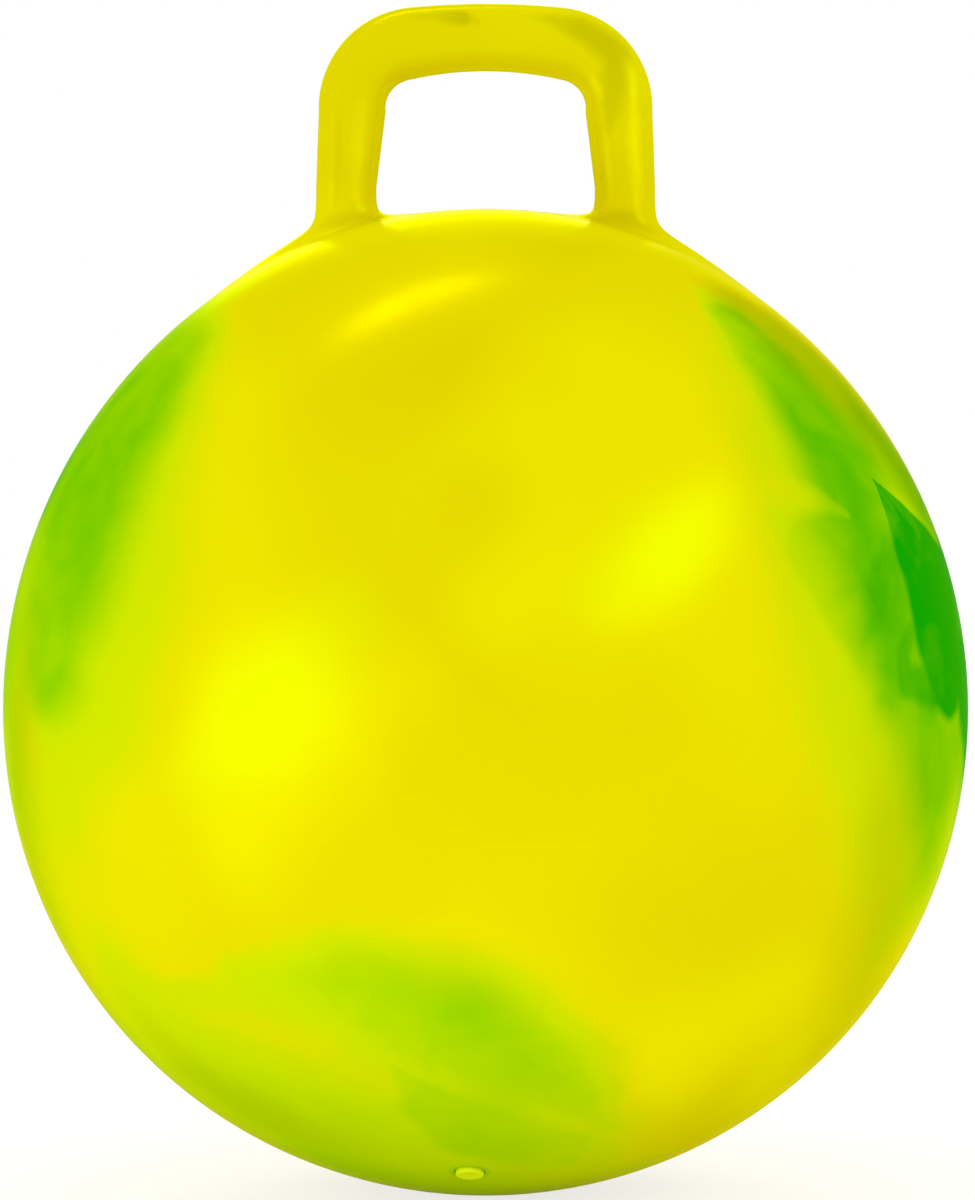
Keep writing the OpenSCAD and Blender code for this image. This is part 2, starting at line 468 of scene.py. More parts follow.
def make_ridge(name, route, material, flip=False, closed=False, fade=0):
    last = len(route) - 1
    rings = []
    for i, point in enumerate(route):
        ahead = route[(i + 1) % len(route)] if closed else route[min(i + 1, last)]
        behind = route[i - 1] if closed else route[max(i - 1, 0)]
        normal = Vector((ahead.z - behind.z, 0, behind.x - ahead.x)).normalized()
        share = min(1, i / fade) if fade else 1
        rings.append(ridge_ring(point, -normal if flip else normal, share))
    points, faces = loft(rings, closed_path=closed, capped=not closed)
    new_piece(name, points, faces, "ball", material, RIDGE_SHARP_ANGLE)


def make_parting_line(ball_material, loop_material):
    right = skin_route()
    left = mirrored(right)
    make_ridge("ball_line_right", right, ball_material, fade=RIDGE_FADE)
    make_ridge("ball_line_left", left, ball_material, flip=True, fade=RIDGE_FADE)
    make_ridge("loop_line", loop_route(0), loop_material)
    make_ridge("opening_line", opening_route(), loop_material, flip=True, closed=True)


# Round parts of the valve, turned about its axis from a profile of (radius, height, rounding)

TURNS = 96
ROUND_STEPS = 6
DISH_STEPS = 10

# Roundings of the valve's edges
SEAT_EDGE = 0.0003
WELL_EDGE = 0.00015
DISH_EDGE = 0.0004
HEAD_FOOT_EDGE = 0.0002
RIB_EDGE = 0.0001
STEM_EDGE = 0.0003
TIP_EDGE = 0.0004


def rounded(profile):
    """The profile with an arc at each corner that has a rounding."""
    outline = []
    count = len(profile)
    for i, (r, z, rounding) in enumerate(profile):
        here = Vector((r, z))
        if rounding == 0:
            outline.append(here)
            continue
        back = (Vector(profile[i - 1][:2]) - here).normalized()
        ahead = (Vector(profile[(i + 1) % count][:2]) - here).normalized()
        half = back.angle(ahead) / 2
        cut = rounding / tan(half)
        centre = here + (back + ahead).normalized() * (rounding / sin(half))
        a = here + back * cut - centre
        b = here + ahead * cut - centre
        sweep = a.angle_signed(b)
        for k in range(ROUND_STEPS + 1):
            outline.append(centre + Matrix.Rotation(-sweep * k / ROUND_STEPS, 2) @ a)
    return outline


def turned(profile, at_axis=False):
    """Points and faces of a part turned about the valve's axis.

    With at_axis its profile starts and ends on the axis.
    """
    place, out, side, across = valve_frame()
    outline = rounded(profile)
    if at_axis:
        first, last = outline[0], outline[-1]
        outline = outline[1:-1]
    rings = []
    angles = [2 * pi * k / TURNS for k in range(TURNS)]
    for p in outline:
        rings.append([place + side * (p.x * cos(a)) + across * (p.x * sin(a)) + out * p.y for a in angles])
    points, faces = loft(rings, closed_path=not at_axis)
    if at_axis:
        for end, ring in ((first, 0), (last, len(rings) - 1)):
            points.append(place + out * end.y)
            tip = len(points) - 1
            row = [ring * TURNS + k for k in range(TURNS)]
            faces += [(tip, row[k], row[(k + 1) % TURNS]) for k in range(TURNS)]
    return points, faces


def make_valve_seat(material):
    drop = WALL_T + BOND + HALF_W - sqrt(HALF_W**2 - (FLANGE_D / 2) ** 2)
    well_r = HEAD_D / 2 + WELL_GAP
    bore_r = STEM_D / 2 + STEM_FIT
    profile = [
        (bore_r, -BARREL_LEN, SEAT_EDGE),
        (BARREL_D / 2, -BARREL_LEN, SEAT_EDGE),
        (BARREL_D / 2, -drop - FLANGE_T, SEAT_EDGE),
        (FLANGE_D / 2, -drop - FLANGE_T, SEAT_EDGE),
        (FLANGE_D / 2, -drop, SEAT_EDGE),
        (COLLAR_D / 2, -drop, 0),
        (COLLAR_D / 2, 0, SEAT_EDGE),
        (well_r, 0, SEAT_EDGE),
        (well_r, -WELL_DEPTH, SEAT_EDGE),
        (bore_r, -WELL_DEPTH, WELL_EDGE),
    ]
    points, faces = turned(profile)
    piece = new_piece("valve_bush", points, faces, "ball", material)
    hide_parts("valve_seat")


def make_valve_plug(material):
    base = -WELL_DEPTH
    top = base + HEAD_T
    core_r = STEM_D / 2 - RIB_H
    dish_r = ((DISH_D / 2) ** 2 + DISH_DEPTH**2) / (2 * DISH_DEPTH)
    profile = [(0, top - DISH_DEPTH, 0)]
    for k in range(1, DISH_STEPS):
        r = DISH_D / 2 * k / DISH_STEPS
        profile.append((r, top - DISH_DEPTH + dish_r - sqrt(dish_r**2 - r**2), 0))
    profile += [
        (DISH_D / 2, top, DISH_EDGE),
        (HEAD_D / 2, top, HEAD_EDGE),
        (HEAD_D / 2, base, HEAD_FOOT_EDGE),
        (core_r, base, HEAD_FOOT_EDGE),
    ]
    pitch = (STEM_LEN - TIP_LEN) / (RIB_COUNT + 1)
    for k in range(1, RIB_COUNT + 1):
        low = base - k * pitch
        profile += [
            (core_r, low + 2 * RIB_H, 0),
            (STEM_D / 2, low + 2 * RIB_H, RIB_EDGE),
            (STEM_D / 2, low + RIB_H, RIB_EDGE),
            (core_r, low, 0),
        ]
    profile += [
        (core_r, base - STEM_LEN + TIP_LEN, STEM_EDGE),
        (core_r - RIB_H, base - STEM_LEN, TIP_EDGE),
        (0, base - STEM_LEN, 0),
    ]
    points, faces = turned(profile, at_axis=True)
    piece = new_piece("plug", points, faces, "plug", material)
    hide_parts("valve_plug")


# Materials. The Mix node's colours are at these numbers of its inputs, and its result at this output.

MIX_FIRST = 6
MIX_SECOND = 7
MIX_RESULT = 2
NOISE_MIDDLE = (0.5, 0.5, 0.5)
DEGREE = pi / 180


def linear(red, green, blue):
    """A colour that is written as the screen shows it, 0 to 255."""
    def channel(v):
        v /= 255
        return v / 12.92 if v <= 0.04045 else ((v + 0.055) / 1.055) ** 2.4
    return (channel(red), channel(green), channel(blue), 1)


def add_node(tree, kind, inputs=(), **settings):
    node = tree.nodes.new(kind)
    for name, value in settings.items():
        setattr(node, name, value)
    for key, value in dict(inputs).items():
        if isinstance(value, bpy.types.NodeSocket):
            tree.links.new(value, node.inputs[key])
        else:
            node.inputs[key].default_value = value
    return node


def maths(tree, operation, *values, clamp=False):
    node = add_node(tree, "ShaderNodeMath", enumerate(values), operation=operation, use_clamp=clamp)
    return node.outputs[0]


def vector_maths(tree, operation, *values):
    node = add_node(tree, "ShaderNodeVectorMath", enumerate(values), operation=operation)
    return node.outputs["Value" if operation in ("DOT_PRODUCT", "LENGTH", "DISTANCE") else "Vector"]


def scaled(tree, vector, scale):
    inputs = {"Vector": vector, "Scale": scale}
    return add_node(tree, "ShaderNodeVectorMath", inputs, operation="SCALE").outputs[0]


def noise(tree, place, scale, detail=2.0, roughness=0.5):
    inputs = {"Vector": place, "Scale": scale, "Detail": detail, "Roughness": roughness}
    return add_node(tree, "ShaderNodeTexNoise", inputs, noise_dimensions="3D")


def map_range(tree, value, low, high, to_low=0.0, to_high=1.0, smooth=False):
    inputs = {0: value, 1: low, 2: high, 3: to_low, 4: to_high}
    kind = "SMOOTHSTEP" if smooth else "LINEAR"
    node = add_node(tree, "ShaderNodeMapRange", inputs, interpolation_type=kind, clamp=not smooth)
    return node.outputs[0]


def mix_colours(tree, share, first, second, blend="MIX"):
    inputs = {0: share, MIX_FIRST: first, MIX_SECOND: second}
    node = add_node(tree, "ShaderNodeMix", inputs, data_type="RGBA", blend_type=blend)
    return node.outputs[MIX_RESULT]


STREAK_INPUTS = (
    ("Place", "NodeSocketVector"), ("Under", "NodeSocketFloat"), ("Start", "NodeSocketVector"),
    ("Along", "NodeSocketVector"), ("Pull", "NodeSocketVector"), ("Width", "NodeSocketFloat"),
    ("Widening", "NodeSocketFloat"), ("Strength", "NodeSocketFloat"), ("Gain", "NodeSocketFloat"),
    ("Core", "NodeSocketFloat"),
)


def streak_group():
    """A node group that lays one tapered streak over what is under it: of pigment, of painted light or of
    painted shade.
    """
    tree = bpy.data.node_groups.new("colour_streak", "ShaderNodeTree")
    for name, kind in STREAK_INPUTS:
        tree.interface.new_socket(name, in_out="INPUT", socket_type=kind)
    tree.interface.new_socket("Value", in_out="OUTPUT", socket_type="NodeSocketFloat")
    given = tree.nodes.new("NodeGroupInput").outputs
    place = given["Place"]
    from_start = vector_maths(tree, "SUBTRACT", place, given["Start"])
    share = maths(tree, "MAXIMUM", vector_maths(tree, "DOT_PRODUCT", from_start, given["Pull"]), 0.0)
    share = maths(tree, "MINIMUM", share, 1.0)
    across = vector_maths(tree, "SUBTRACT", from_start, scaled(tree, given["Along"], share))
    away = vector_maths(tree, "LENGTH", across)
    width = maths(tree, "MULTIPLY_ADD", share, given["Widening"], given["Width"])
    cover = map_range(tree, maths(tree, "DIVIDE", away, width), 1.0, given["Core"], smooth=True)
    strength = maths(tree, "MULTIPLY_ADD", share, given["Gain"], given["Strength"])
    laid = maths(tree, "MAXIMUM", maths(tree, "MULTIPLY", cover, strength), given["Under"])
    out = tree.nodes.new("NodeGroupOutput")
    tree.links.new(laid, out.inputs[0])
    return tree


def on_ball(azimuth, latitude):
    """The pigment's place of a point of the skin in degrees: from the ball's middle, in half widths."""
    return (skin_point(radians(azimuth), radians(latitude)) - UP * CENTRE_Z) / HALF_W


def on_loop(x, z):
    """The pigment's place of a point of the loop's front in metres."""
    return (Vector((x, -HANDLE_DEPTH / 2, z)) - UP * CENTRE_Z) / HALF_W


def lay_streaks(tree, group, place, streaks, locate, unit):
    """The cover of all the streaks at each place. Where they cross, one is laid over the other."""
    bare = 1.0
    for core, points in streaks:
        value = 0.0
        for (a0, b0, w0, s0), (a1, b1, w1, s1) in zip(points, points[1:]):
            start, end = locate(a0, b0), locate(a1, b1)
            along = end - start
            inputs = {
                "Place": place, "Under": value, "Start": start, "Along": along,
                "Pull": along / along.length_squared, "Width": w0 * unit, "Widening": (w1 - w0) * unit,
                "Strength": s0, "Gain": s1 - s0, "Core": core,
            }
            value = add_node(tree, "ShaderNodeGroup", inputs, node_tree=group).outputs[0]
        bare = maths(tree, "MULTIPLY", bare, maths(tree, "SUBTRACT", 1.0, value))
    return maths(tree, "SUBTRACT", 1.0, bare)


# Streaks of green on the ball: how much of the width is solid, then a line of points. Each point is its
# azimuth, latitude and half width in degrees, and its strength.
GREEN = [
    # The band down the left side, out to the rim, in its haze
    (0.3, [(-60, 47, 6, 0.15), (-61, 42, 12, 0.48), (-62, 36, 16, 0.6), (-61, 30, 18, 0.62),
           (-60, 22, 19, 0.6), (-59, 14, 18, 0.54), (-59, 7, 14, 0.48), (-59, 1, 9, 0.15)]),
    (0.2, [(-74, 47, 9, 0.3), (-79, 39, 13, 0.42), (-82, 28, 17, 0.5), (-84, 14, 18, 0.46),
           (-80, 4, 18, 0.46), (-76, -7, 16, 0.3), (-72, -20, 14, 0.14)]),
    (0.0, [(-47, 42, 9, 0.12), (-47, 30, 16, 0.18), (-45, 13, 19, 0.22), (-48, 1, 18, 0.24),
           (-57, -9, 14, 0.15)]),
    (0.0, [(-61, 5, 5, 0.15), (-60, 1, 5, 0.15)]),
    (0.0, [(-62, -14, 14, 0.06), (-54, -28, 14, 0.08)]),
    (0.0, [(-56, 58, 5, 0.1), (-68, 51, 8, 0.22), (-84, 43, 9, 0.25)]),
    # The band down the right side, out to the rim, in its haze
    (0.3, [(46, 53, 3, 0.1), (48, 48, 6, 0.45), (49, 41, 9, 0.54), (51, 33, 11, 0.62), (52.5, 27, 13, 0.66),
           (53, 20, 15, 0.66), (55, 12, 15, 0.66), (59, 4, 15, 0.6), (66, -6, 16, 0.45), (74, -15, 15, 0.28),
           (80, -24, 12, 0.1)]),
    (0.2, [(53, 51, 7, 0.12), (58, 45, 10, 0.18), (63, 38, 12, 0.28), (67, 31, 12, 0.48), (74, 25, 11, 0.6),
           (84, 18, 9, 0.6)]),
    (0.0, [(39, 51, 7, 0.06), (39, 39, 11, 0.14), (41, 20, 16, 0.2), (44, 4, 18, 0.22), (52, -13, 18, 0.18),
           (64, -31, 14, 0.08)]),
    (0.0, [(59, 2, 8, 0.3), (63, -7, 11, 0.4), (66, -17, 10, 0.25), (62, -27, 8, 0.08)]),
    (0.2, [(52, 25, 4, 0.2), (54, 17, 7, 0.5), (53.5, 9, 7, 0.5), (51, 2, 4, 0.2)]),
    # The dark wedge at its foot, which narrows along the right side, and its hook
    (0.75, [(58.8, 25.8, 0.3, 0.8), (62, 17, 5.5, 1), (64, 9, 7, 1), (67, 4, 6.5, 1)]),
    (0.75, [(60, 25, 0.5, 0.8), (70, 16, 6, 1), (80, 7, 14, 1), (89, -3, 12, 0.8)]),
    (0.15, [(74, 12, 12, 0.3), (82, 4, 19, 0.8), (92, -8, 19, 0.85), (102, -19, 13, 0.6),
            (114, -30, 5, 0.1)]),
    (0.4, [(57, 9, 1.4, 0.4), (54.5, 6, 2, 0.6), (55, 3, 2.6, 0.7), (62, 2.5, 4, 0.7)]),
    (0.6, [(36, 21, 1.5, 0.06), (41, 17, 5, 0.17), (46, 11, 6, 0.17), (51, 4, 4, 0.05)]),
    # The swirl across the bottom, its haze, its second tail and the wash under them
    (0.1, [(-44, -32, 3, 0.08), (-32, -31, 7, 0.2), (-18, -32, 11, 0.32), (-4, -36, 13, 0.44),
           (4, -41, 12, 0.42), (14, -47, 7, 0.28), (23, -53, 2, 0.1)]),
    (0.0, [(-32, -27, 6, 0.06), (-14, -26, 9, 0.16), (4, -32, 10, 0.18), (15, -41, 9, 0.16),
           (25, -51, 6, 0.06)]),
    (0.5, [(-13, -42, 1, 0.12), (-9, -48, 4.5, 0.18), (0, -54, 8, 0.2), (14, -58, 7, 0.17),
           (27, -61, 4, 0.05)]),
    (0.0, [(-58, -31, 11, 0.12), (-46, -40, 14, 0.24), (-34, -46, 15, 0.28), (-8, -53, 17, 0.27),
           (22, -58, 13, 0.16), (36, -54, 9, 0.05)]),
    (0.0, [(-44, -66, 11, 0.2), (0, -73, 14, 0.25), (44, -66, 10, 0.15)]),
    (0.0, [(-72, -30, 10, 0.1), (-68, -42, 14, 0.24), (-54, -54, 16, 0.3), (-28, -63, 15, 0.2),
           (0, -66, 10, 0.08)]),
    # Streaks and haze on the back
    (0.3, [(96, 8, 9, 0.6), (106, 3, 10, 0.62), (118, -5, 9, 0.5), (132, -12, 6, 0.25), (144, -16, 2, 0.05)]),
    (0.0, [(100, 12, 16, 0.2), (122, 2, 18, 0.24), (146, -14, 14, 0.12)]),
    (0.2, [(92, 40, 4, 0.2), (108, 44, 9, 0.5), (130, 40, 10, 0.55), (150, 30, 7, 0.4), (163, 20, 3, 0.1)]),
    (0.0, [(96, 36, 14, 0.12), (126, 34, 20, 0.25), (156, 22, 16, 0.15)]),
    (0.2, [(-84, 29, 12, 0.45), (-98, 33, 11, 0.5), (-118, 37, 8, 0.45), (-140, 31, 3, 0.1)]),
    (0.0, [(-90, 20, 18, 0.3), (-112, 26, 20, 0.25), (-136, 24, 14, 0.1)]),
    (0.2, [(172, -8, 3, 0.1), (-172, 2, 9, 0.5), (-156, 12, 12, 0.75), (-140, 9, 8, 0.55),
           (-126, -2, 3, 0.1)]),
    (0.0, [(178, -4, 14, 0.15), (-156, 8, 22, 0.3), (-130, 2, 14, 0.15)]),
    (0.2, [(146, -38, 4, 0.15), (168, -44, 11, 0.5), (-168, -42, 9, 0.5), (-146, -32, 3, 0.1)]),
]
# Streaks of olive, where the green has gone into the yellow
OLIVE = [
    (0.2, [(50, 56, 2, 0.2), (57, 51, 8, 0.9), (62, 45, 12, 1), (68, 37, 12, 1), (74, 29, 11, 0.9),
           (82, 20, 8, 0.5)]),
    (0.0, [(50, -4, 8, 0.2), (54, -13, 12, 0.5), (58, -24, 14, 0.55), (66, -38, 10, 0.3)]),
    (0.0, [(-66, 8, 8, 0.2), (-68, -2, 11, 0.55), (-72, -14, 12, 0.5), (-76, -30, 11, 0.4),
           (-76, -46, 11, 0.4), (-60, -62, 9, 0.2)]),
    (0.1, [(-58, -36, 5, 0.1), (-54, -46, 9, 0.4), (-42, -53, 8, 0.34), (-26, -58, 5, 0.05)]),
    (0.0, [(-18, -26, 5, 0.12), (-4, -28, 6, 0.22), (6, -33, 5, 0.1)]),
    (0.0, [(-98, 20, 5, 0.2), (-112, 10, 10, 0.5), (-116, -10, 7, 0.3)]),
    (0.0, [(120, 20, 5, 0.2), (140, 8, 9, 0.5), (160, -12, 6, 0.3)]),
]
# Gaps of clean yellow in the green
CLEAN = [
    (0.2, [(38, 24.5, 2, 0.2), (43, 23, 2.5, 0.35), (49, 21, 1, 0.15)]),
]
# Clouds of a warm, of a clear and of a lemon yellow. The clear clouds are painted light and the lemon ones
# are painted highlights.
WARM = [
    (0.0, [(-18, 36, 11, 0.4), (-6, 41, 14, 0.6), (6, 40, 9, 0.3)]),
    (0.0, [(2, -19, 11, 0.2), (16, -22, 14, 0.45), (30, -20, 10, 0.2)]),
]
# Painted light: clear yellow clouds beside the left broad highlight, which they widen, a painted reflection
# round the crown, and painted light low on the right front
CLEAR_PAINTED_LIGHT = [
    (0.1, [(12, -40, 9, 0.3), (27, -42, 15, 0.9), (40, -32, 11, 0.5)]),
    (0.0, [(-26, -10, 9, 0.4), (-18, -1, 12, 0.9), (-10, 3, 9, 0.4)]),
    (0.0, [(-60, 64, 9, 0.3), (-10, 71, 14, 0.7), (50, 68, 9, 0.4)]),
]
# Painted highlights: lemon clouds under the broad highlights of the two front lamps, which tint them lemon
LEMON_HIGHLIGHTS = [
    (0.1, [(-33, -6, 7, 0.4), (-25, 0, 12, 0.7), (-16, 9, 8, 0.4)]),
    (0.1, [(13, 12, 6, 0.4), (21, 17, 9, 0.7), (29, 22, 6, 0.4)]),
]

# The vinyl's colours, as the screen shows them, and the shades that dull them. The clear yellow paints light,
# the lemon and bright yellows paint highlights, and the middle shade paints the loop's shade.
CLOUD_YELLOWS = ((230, 215, 0), (239, 228, 0))
WARM_YELLOW = (228, 208, 0)
PAINTED_LIGHT_YELLOW = (245, 234, 0)
HIGHLIGHT_LEMON = (228, 240, 0)
PAINTED_HIGHLIGHT_YELLOW = (243, 232, 0)
SEAT_GREENS = ((176, 214, 2), (190, 222, 4))
PLUG_YELLOWS = ((242, 254, 20), (248, 255, 30))
NO_GREEN = (231, 222, 1)
MORE_GREEN = ((0.25, (205, 226, 0)), (0.5, (160, 212, 0)), (0.75, (100, 192, 0)))
FULL_GREEN = (0, 165, 0)
OLIVE_SHADE = (0.66, 0.68, 0.5, 1)
PAINTED_SHADE_TINT = (0.75, 0.77, 0.5, 1)
LOOP_SHADE = (0.95, 0.955, 0.9, 1)

# How noise stirs the pigments: its scale, its reach and its detail
BACK_STIR = (2.0, 0.7, 2.0)
WIDE_STIR = (2.2, 0.06, 2.0)
FINE_STIR = (9.0, 0.02, 3.0)
SMOKE_STIR = (3.0, 0.5, 2.0)
CLOUD_STIR = (1.6, 0.5, 1.0)
SMEAR_STIR = (2.5, 0.4, 2.0)
LOOP_STIR = (12.0, 0.025, 2.0)

# Noise of the colours and of the surface: its scale, its detail and for the grain its roughness
SMOKE = (5.0, 4.0)
CLOUDS = (1.5, 1.0)
SPECKS = (40.0, 2.0)
GRAIN = (260.0, 2.0, 0.6)
RIPPLE = (26.0, 1.0)
SMEARS = (4.0, 3.0)

# Where the back's stirring and the loop's own shade come in: ranges of depth and of height from the ball's
# middle, in half widths
BACK_RANGE = (-0.14, 0.4)
LOOP_RANGE = (1.02, 1.1)

# Ranges of noise that are stretched out, the shares of the green that its smoke leaves, and the range of
# the green's strength over which it comes to cover the yellow
CLOUD_RANGE = (0.36, 0.64)
MIDDLE_RANGE = (0.3, 0.7)
SMOKE_RANGE = (0.25, 0.75)
SMOKE_SHARES = (0.86, 1.14)
COVER_RANGE = (0.0, 0.18)

# The vinyl's surface. Its gloss comes from a small share of metal, whose edges have this tint.
RIPPLE_SHARE = 1.5
BUMP_STRENGTH = 0.06
BUMP_DEPTH = 0.0004
ROUGHNESS = (0.2, 0.26)
METAL_SHARE = 0.14
EDGE_TINT = (0.8, 1.0, 0.02, 1)


def pigment_place(tree):
    coordinates = tree.nodes.new("ShaderNodeTexCoord").outputs["Object"]
    from_middle = vector_maths(tree, "SUBTRACT", coordinates, (0, 0, CENTRE_Z))
    return scaled(tree, from_middle, 1 / HALF_W)


def stirred(tree, place, scale, reach, detail):
    """The place, pushed about by noise as a stirred pigment is."""
    push = noise(tree, place, scale, detail).outputs["Color"]
    push = vector_maths(tree, "SUBTRACT", push, NOISE_MIDDLE)
    return vector_maths(tree, "MULTIPLY_ADD", push, (reach, reach, reach), place)


def yellow_clouds(tree, place):
    """The plain vinyl's colour: a warm and a clear yellow in soft clouds."""
    clouds = noise(tree, stirred(tree, place, *CLOUD_STIR), *CLOUDS).outputs[0]
    share = map_range(tree, clouds, *CLOUD_RANGE, smooth=True)
    return mix_colours(tree, share, linear(*CLOUD_YELLOWS[0]), linear(*CLOUD_YELLOWS[1]))


def vinyl_material(name, colour_of):
    """A soft glossy vinyl. colour_of makes its colour from the pigment's place."""
    material = bpy.data.materials.new(name)
    material.use_nodes = True
    tree = material.node_tree
    shader = tree.nodes["Principled BSDF"]
    place = pigment_place(tree)
    tree.links.new(colour_of(tree, place), shader.inputs["Base Color"])
    grain = noise(tree, place, *GRAIN).outputs[0]
    ripple = noise(tree, place, *RIPPLE).outputs[0]
    skin = maths(tree, "MULTIPLY_ADD", ripple, RIPPLE_SHARE, grain)
    inputs = {"Height": skin, "Strength": BUMP_STRENGTH, "Distance": BUMP_DEPTH}
    bump = add_node(tree, "ShaderNodeBump", inputs)
    tree.links.new(bump.outputs[0], shader.inputs["Normal"])
    smears = noise(tree, stirred(tree, place, *SMEAR_STIR), *SMEARS).outputs[0]
    rough = map_range(tree, smears, *MIDDLE_RANGE, *ROUGHNESS)
    tree.links.new(rough, shader.inputs["Roughness"])
    shader.inputs["Metallic"].default_value = METAL_SHARE
    shader.inputs["Specular IOR Level"].default_value = 0.0
    shader.inputs["Specular Tint"].default_value = EDGE_TINT
    return material


def ball_colour(group):
    def colour(tree, place):
        depth = add_node(tree, "ShaderNodeSeparateXYZ", {0: place}).outputs[1]
        behind = map_range(tree, depth, *BACK_RANGE, smooth=True)
        moved = mix_colours(tree, behind, place, stirred(tree, place, *BACK_STIR))
        moved = stirred(tree, stirred(tree, moved, *WIDE_STIR), *FINE_STIR)
        kinds = (GREEN, CLEAN, OLIVE, WARM, CLEAR_PAINTED_LIGHT, LEMON_HIGHLIGHTS)
        covers = [lay_streaks(tree, group, moved, kind, on_ball, DEGREE) for kind in kinds]
        green, clean, olive, warm, clear, lemon_highlight = covers
        green = maths(tree, "MULTIPLY", green, maths(tree, "SUBTRACT", 1.0, clean))
        smoke = noise(tree, stirred(tree, place, *SMOKE_STIR), *SMOKE).outputs[0]
        smoke = map_range(tree, smoke, *SMOKE_RANGE, *SMOKE_SHARES)
        green = maths(tree, "MULTIPLY", green, smoke, clamp=True)
        greens = tree.nodes.new("ShaderNodeValToRGB")
        ramp = greens.color_ramp
        ramp.elements[0].position = 0.0
        ramp.elements[0].color = linear(*NO_GREEN)
        ramp.elements[1].position = 1.0
        ramp.elements[1].color = linear(*FULL_GREEN)
        for spot, shade in MORE_GREEN:
            ramp.elements.new(spot).color = linear(*shade)
        tree.links.new(green, greens.inputs[0])
        cover = map_range(tree, green, *COVER_RANGE, smooth=True)
        yellow = yellow_clouds(tree, place)
        # The clear clouds lay painted light and the lemon clouds lay painted highlights over the yellow
        for share, shade in ((warm, WARM_YELLOW), (clear, PAINTED_LIGHT_YELLOW), (lemon_highlight, HIGHLIGHT_LEMON)):
            yellow = mix_colours(tree, share, yellow, linear(*shade))
        mixed = mix_colours(tree, cover, yellow, greens.outputs[0])
        return mix_colours(tree, olive, mixed, OLIVE_SHADE, "MULTIPLY")
    return colour


# The loop's painted shade, by x and z in metres: on the left leg and down its inner side, painted dark
# reflections along the bar and the right corner, painted shade down the right leg's inner side, and painted
# shade in the creases at the roots. Then its painted highlights, light stripes on both legs.
LOOP_PAINTED_SHADE = [
    (0.2, [(-0.0440, 0.5170, 0.0040, 0.2), (-0.0468, 0.4950, 0.0048, 0.15), (-0.0506, 0.4630, 0.0050, 0.1)]),
    (0.2, [(-0.0700, 0.5080, 0.0030, 0.15), (-0.0690, 0.4850, 0.0040, 0.3), (-0.0700, 0.4620, 0.0030, 0.15)]),
    (0.3, [(-0.0385, 0.5490, 0.0030, 0.3), (-0.0220, 0.5480, 0.0050, 0.5), (-0.0110, 0.5470, 0.0060, 0.9),
           (-0.0060, 0.5450, 0.0040, 0.3)]),
    (0.2, [(0.0193, 0.5495, 0.0040, 0.3), (0.0340, 0.5470, 0.0060, 0.6), (0.0440, 0.5430, 0.0090, 0.9),
           (0.0620, 0.5300, 0.0120, 1), (0.0600, 0.5140, 0.0090, 0.7), (0.0540, 0.4900, 0.0050, 0.3),
           (0.0560, 0.4630, 0.0050, 0.1)]),
    (0.1, [(-0.0800, 0.4500, 0.0060, 0.2), (-0.0650, 0.4530, 0.0070, 0.6), (-0.0470, 0.4560, 0.0050, 0.4)]),
    (0.1, [(0.0460, 0.4560, 0.0050, 0.4), (0.0650, 0.4530, 0.0070, 0.7), (0.0840, 0.4480, 0.0060, 0.2)]),
]
# Painted highlights: light stripes down both legs where the lamps shine on them
LOOP_PAINTED_HIGHLIGHTS = [
    (0.2, [(0.0690, 0.5120, 0.0050, 0.3), (0.0700, 0.4900, 0.0060, 0.8), (0.0710, 0.4620, 0.0050, 0.4)]),
    (0.1, [(-0.0580, 0.5060, 0.0050, 0.3), (-0.0600, 0.4850, 0.0060, 0.6), (-0.0610, 0.4640, 0.0040, 0.3)]),
]


def loop_colour(group):
    def colour(tree, place):
        moved = stirred(tree, place, *LOOP_STIR)
        # The loop's painted shade and painted highlights, laid over its yellow
        painted_shade = lay_streaks(tree, group, moved, LOOP_PAINTED_SHADE, on_loop, 1 / HALF_W)
        painted_highlight = lay_streaks(tree, group, moved, LOOP_PAINTED_HIGHLIGHTS, on_loop, 1 / HALF_W)
        height = add_node(tree, "ShaderNodeSeparateXYZ", {0: place}).outputs[2]
        above = map_range(tree, height, *LOOP_RANGE, smooth=True)
        yellow = mix_colours(tree, above, yellow_clouds(tree, place), LOOP_SHADE, "MULTIPLY")
        yellow = mix_colours(tree, painted_highlight, yellow, linear(*PAINTED_HIGHLIGHT_YELLOW))
        return mix_colours(tree, painted_shade, yellow, PAINTED_SHADE_TINT, "MULTIPLY")
    return colour


def plain_colour(first, second):
    def colour(tree, place):
        share = map_range(tree, noise(tree, place, *SPECKS).outputs[0], *MIDDLE_RANGE)
        return mix_colours(tree, share, linear(*first), linear(*second))
    return colour


# The photograph's view, by a level camera. The picture's height and the focal length are in pixels. The
# sensor spans that height and is in millimetres.
PHOTO_H = 1200
FOCAL_PX = 3830
SENSOR = 36.0
CAMERA_PLACE = (0.0009, -1.8, 0.276)

# The studio. The world lights the object at its own level, and the floor is plain paper to that light. Rays
# that show the floor to the camera find a glow and a share of the light on it instead, which keeps the
# shadow: together they are white.
WORLD_LIGHT = 0.86
PAPER = 0.95
SHADOW_SHARE = 0.3
GLOW = 0.75
FLOOR_REACH = 60.0

# A lamp's face, which is 1 wide and 1 high in its own measure, and the tint of the two front lamps
FACE_MIDDLE = (0.5, 0.5, 0.0)
FACE_REACH = 0.5
LIME = (0.8, 1.0, 0.9)


def grey(level):
    return (level, level, level, 1)


def seen_rays(tree):
    """1 for rays that show the surface to the camera, in a reflection or through a clear part."""
    path = tree.nodes.new("ShaderNodeLightPath")
    rays = [path.outputs[n] for n in ("Is Camera Ray", "Is Glossy Ray", "Is Transmission Ray")]
    return maths(tree, "MAXIMUM", maths(tree, "MAXIMUM", rays[0], rays[1]), rays[2])


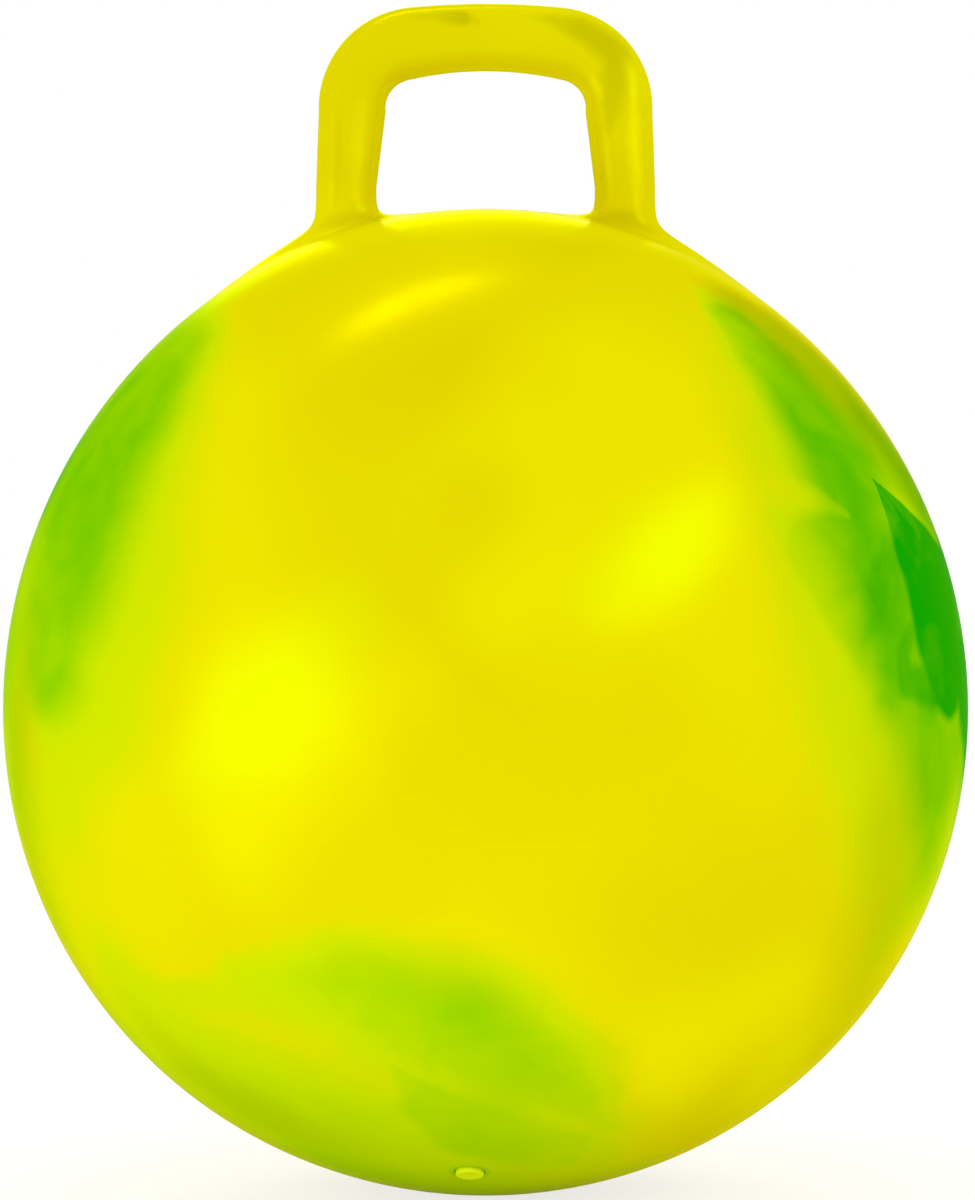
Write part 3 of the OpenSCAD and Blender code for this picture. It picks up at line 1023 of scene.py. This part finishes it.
def make_world():
    world = bpy.data.worlds.new("studio")
    bpy.context.scene.world = world
    world.use_nodes = True
    tree = world.node_tree
    background = tree.nodes["Background"]
    background.inputs["Color"].default_value = (1, 1, 1, 1)
    strength = map_range(tree, seen_rays(tree), 0.0, 1.0, WORLD_LIGHT, 1.0)
    tree.links.new(strength, background.inputs["Strength"])


def make_floor():
    mesh = bpy.data.meshes.new("floor")
    signs = ((-1, -1), (1, -1), (1, 1), (-1, 1))
    corners = [(FLOOR_REACH * a, FLOOR_REACH * b, 0) for a, b in signs]
    mesh.from_pydata(corners, [], [(0, 1, 2, 3)])
    sheet = bpy.data.objects.new("floor", mesh)
    bpy.context.scene.collection.objects.link(sheet)
    material = bpy.data.materials.new("floor_paper")
    material.use_nodes = True
    tree = material.node_tree
    tree.nodes.remove(tree.nodes["Principled BSDF"])
    plain = add_node(tree, "ShaderNodeBsdfDiffuse", {"Color": grey(PAPER)})
    lit = add_node(tree, "ShaderNodeBsdfDiffuse", {"Color": grey(SHADOW_SHARE)})
    glow = add_node(tree, "ShaderNodeEmission", {"Strength": GLOW})
    shown = add_node(tree, "ShaderNodeAddShader", {0: lit.outputs[0], 1: glow.outputs[0]})
    inputs = {0: seen_rays(tree), 1: plain.outputs[0], 2: shown.outputs[0]}
    both = add_node(tree, "ShaderNodeMixShader", inputs)
    tree.links.new(both.outputs[0], tree.nodes["Material Output"].inputs["Surface"])
    mesh.materials.append(material)


def make_softbox(name, place, width, height, level, roll=0.0, core=0.3, tint=(1, 1, 1), reflected=True):
    """A lamp that looks at the ball's middle, from a place measured from there.

    Its level is the brightness of its face, which fades from its core to its edge.
    """
    data = bpy.data.lights.new(name, "AREA")
    data.shape = "RECTANGLE"
    data.size = width
    data.size_y = height
    data.energy = level * pi * width * height
    data.color = tint
    data.use_nodes = True
    tree = data.node_tree
    across = add_node(tree, "ShaderNodeNewGeometry").outputs["Parametric"]
    across = vector_maths(tree, "SUBTRACT", across, FACE_MIDDLE)
    away = vector_maths(tree, "LENGTH", across)
    fade = map_range(tree, away, FACE_REACH, FACE_REACH * core, smooth=True)
    tree.links.new(fade, tree.nodes["Emission"].inputs["Strength"])
    lamp = bpy.data.objects.new(name, data)
    bpy.context.scene.collection.objects.link(lamp)
    lamp.location = UP * CENTRE_Z + Vector(place)
    turn = Vector(place).to_track_quat("Z", "Y").to_matrix() @ Matrix.Rotation(roll, 3, "Z")
    lamp.rotation_euler = turn.to_euler()
    lamp.visible_camera = False
    lamp.visible_glossy = reflected


def make_camera():
    data = bpy.data.cameras.new("camera")
    data.sensor_width = SENSOR
    data.lens = SENSOR * FOCAL_PX / PHOTO_H
    camera = bpy.data.objects.new("camera", data)
    bpy.context.scene.collection.objects.link(camera)
    camera.location = CAMERA_PLACE
    camera.rotation_euler = (pi / 2, 0, 0)
    bpy.context.scene.camera = camera


bpy.context.scene.view_settings.view_transform = "Standard"
make_camera()
make_world()
make_floor()
make_softbox(
    "left_softbox", (-0.83, -0.70, 0.04), width=0.9, height=1.15, level=1.25, roll=radians(-44), tint=LIME
)
make_softbox(
    "right_softbox", (0.99, -0.96, 0.80), width=1.9, height=0.6, level=1.7, roll=radians(30), tint=LIME
)
make_softbox("top_strip", (-0.38, 0.40, 1.92), width=1.4, height=0.14, level=13.0, roll=radians(-17))
make_softbox("back_softbox", (-0.2, 2.16, 1.06), width=1.5, height=1.0, level=4.0, core=0.6)
make_softbox("low_fill", (0.0, -0.42, -0.2), width=1.3, height=0.07, level=1.35, reflected=False)

streaks = streak_group()
ball_vinyl = vinyl_material("marbled_vinyl", ball_colour(streaks))
loop_vinyl = vinyl_material("loop_vinyl", loop_colour(streaks))
seat_vinyl = vinyl_material("seat_vinyl", plain_colour(*SEAT_GREENS))
plug_plastic = vinyl_material("plug_plastic", plain_colour(*PLUG_YELLOWS))

make_ball_skin(ball_vinyl)
make_hand_loop(loop_vinyl)
make_parting_line(ball_vinyl, loop_vinyl)
make_valve_seat(seat_vinyl)
make_valve_plug(plug_plastic)
